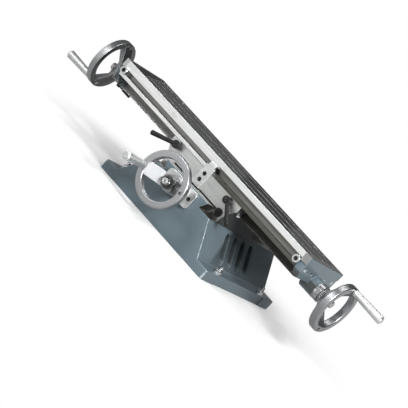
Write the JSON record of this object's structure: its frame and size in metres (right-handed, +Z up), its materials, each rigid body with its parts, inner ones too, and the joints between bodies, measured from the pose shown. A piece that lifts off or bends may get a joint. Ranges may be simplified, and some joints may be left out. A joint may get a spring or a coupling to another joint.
{
  "type": "cross slide table",
  "caption": "Two-axis cross slide table: T-slotted work table on dovetail ways over a saddle and a hollow cast base, moved by handwheels on lead screws.",
  "frame": {"origin": "middle of the base's underside, in the plane it stands on", "axes": "+X along the table to the right-hand wheel, +Y away from the operator, +Z up"},
  "size_m": [1.2812, 0.7166, 0.2785],
  "materials": {
    "machine_paint": "semi-gloss blue-grey machine paint on cast iron",
    "ground_iron": "surface-ground and scraped",
    "bright_steel": "bright machined",
    "handle_chrome": "satin chrome",
    "wheel_aluminium": "turned and satin",
    "dial_satin": "satin with black graduations",
    "black_steel": "blackened steel",
    "bronze": "turned bronze"
  },
  "bodies": {
    "base": {"base_casting": "machine_paint", "hold_down_bolts": "bright_steel", "hold_down_washers": "bright_steel", "y_bearing_plate": "bright_steel", "y_plate_screws": "black_steel", "front_cross_bush": "bronze", "rear_cross_bush": "bronze"},
    "saddle": {"saddle_casting": "ground_iron", "y_gib": "ground_iron", "x_gib": "ground_iron", "y_gib_screws": "black_steel", "x_gib_screws": "black_steel", "x_feed_nut": "bronze", "y_feed_nut": "bronze", "feed_nut_screws": "black_steel", "stop_block": "bright_steel", "stop_block_screws": "black_steel"},
    "table": {"table_top": "ground_iron", "left_end_bracket": "machine_paint", "right_end_bracket": "machine_paint", "left_bracket_screws": "bright_steel", "right_bracket_screws": "bright_steel", "left_screw_bush": "bronze", "right_screw_bush": "bronze"},
    "x_screw": {"x_leadscrew": "bright_steel", "left_handwheel": "wheel_aluminium", "right_handwheel": "wheel_aluminium", "left_wheel_nut": "bright_steel", "right_wheel_nut": "bright_steel", "left_handle_pin": "handle_chrome", "right_handle_pin": "handle_chrome"},
    "y_screw": {"y_leadscrew": "bright_steel", "cross_handwheel": "wheel_aluminium", "cross_wheel_nut": "bright_steel", "cross_handle_pin": "handle_chrome"},
    "left_dial": {"left_dial": "dial_satin"},
    "right_dial": {"right_dial": "dial_satin"},
    "cross_dial": {"cross_dial": "dial_satin"},
    "left_grip": {"left_handle_grip": "handle_chrome"},
    "right_grip": {"right_handle_grip": "handle_chrome"},
    "cross_grip": {"cross_handle_grip": "handle_chrome"},
    "left_lever": {"left_clamp_lever": "black_steel", "left_clamp_stud": "black_steel"},
    "right_lever": {"right_clamp_lever": "black_steel", "right_clamp_stud": "black_steel"},
    "left_stop": {"left_stop_ring": "bright_steel", "left_stop_screw": "black_steel", "left_stop_nut": "bright_steel"},
    "right_stop": {"right_stop_ring": "bright_steel", "right_stop_screw": "black_steel", "right_stop_nut": "bright_steel"},
    "screw_lock": {"lock_spindle": "black_steel", "lock_grip": "black_steel"}
  },
  "joints": [
    {"name": "saddle_slide", "type": "slide", "parent": "base", "child": "saddle", "axis": [0, 1, 0], "range_m": [-0.045, 0.175]},
    {"name": "table_slide", "type": "slide", "parent": "saddle", "child": "table", "axis": [1, 0, 0], "range_m": [-0.215, 0.215]},
    {"name": "y_screw_turn", "type": "hinge", "parent": "base", "child": "y_screw", "pos_m": [0, -0.255, 0.125], "axis": [0, 1, 0], "range_deg": [-3241, 12601]},
    {"name": "x_screw_turn", "type": "hinge", "parent": "table", "child": "x_screw", "pos_m": [-0.016, -0.078, 0.19555], "axis": [1, 0, 0], "range_deg": [-15481, 15481]},
    {"name": "right_dial_turn", "type": "hinge", "parent": "x_screw", "child": "right_dial", "pos_m": [0.408, -0.078, 0.19555], "axis": [1, 0, 0], "continuous": true},
    {"name": "left_dial_turn", "type": "hinge", "parent": "x_screw", "child": "left_dial", "pos_m": [-0.43, -0.078, 0.19555], "axis": [1, 0, 0], "continuous": true},
    {"name": "cross_dial_turn", "type": "hinge", "parent": "y_screw", "child": "cross_dial", "pos_m": [0, -0.255, 0.125], "axis": [0, 1, 0], "continuous": true},
    {"name": "right_grip_turn", "type": "hinge", "parent": "x_screw", "child": "right_grip", "pos_m": [0.5154, -0.078, 0.26555], "axis": [1, 0, 0], "continuous": true},
    {"name": "left_grip_turn", "type": "hinge", "parent": "x_screw", "child": "left_grip", "pos_m": [-0.5374, -0.078, 0.12555], "axis": [1, 0, 0], "continuous": true},
    {"name": "cross_grip_turn", "type": "hinge", "parent": "y_screw", "child": "cross_grip", "pos_m": [-0.06921, -0.3624, 0.11453], "axis": [0, 1, 0], "continuous": true},
    {"name": "left_lever_turn", "type": "hinge", "parent": "saddle", "child": "left_lever", "pos_m": [-0.121, -0.194, 0.196], "axis": [0, -1, 0], "range_deg": [-20, 25]},
    {"name": "right_lever_turn", "type": "hinge", "parent": "saddle", "child": "right_lever", "pos_m": [0.11, -0.194, 0.196], "axis": [0, -1, 0], "range_deg": [-8, 30]},
    {"name": "left_stop_slide", "type": "slide", "parent": "table", "child": "left_stop", "axis": [1, 0, 0], "range_m": [0, 0.16]},
    {"name": "right_stop_slide", "type": "slide", "parent": "table", "child": "right_stop", "axis": [1, 0, 0], "range_m": [-0.12, 0]},
    {"name": "screw_lock_turn", "type": "hinge", "parent": "table", "child": "screw_lock", "pos_m": [-0.423, -0.14, 0.19], "axis": [0, 0, 1], "range_deg": [-80, 45]}
  ],
  "couplings": [
    {"joint": "y_screw_turn", "follows": "saddle_slide", "rad_per_m": 1256.6},
    {"joint": "x_screw_turn", "follows": "table_slide", "rad_per_m": 1256.6}
  ]
}
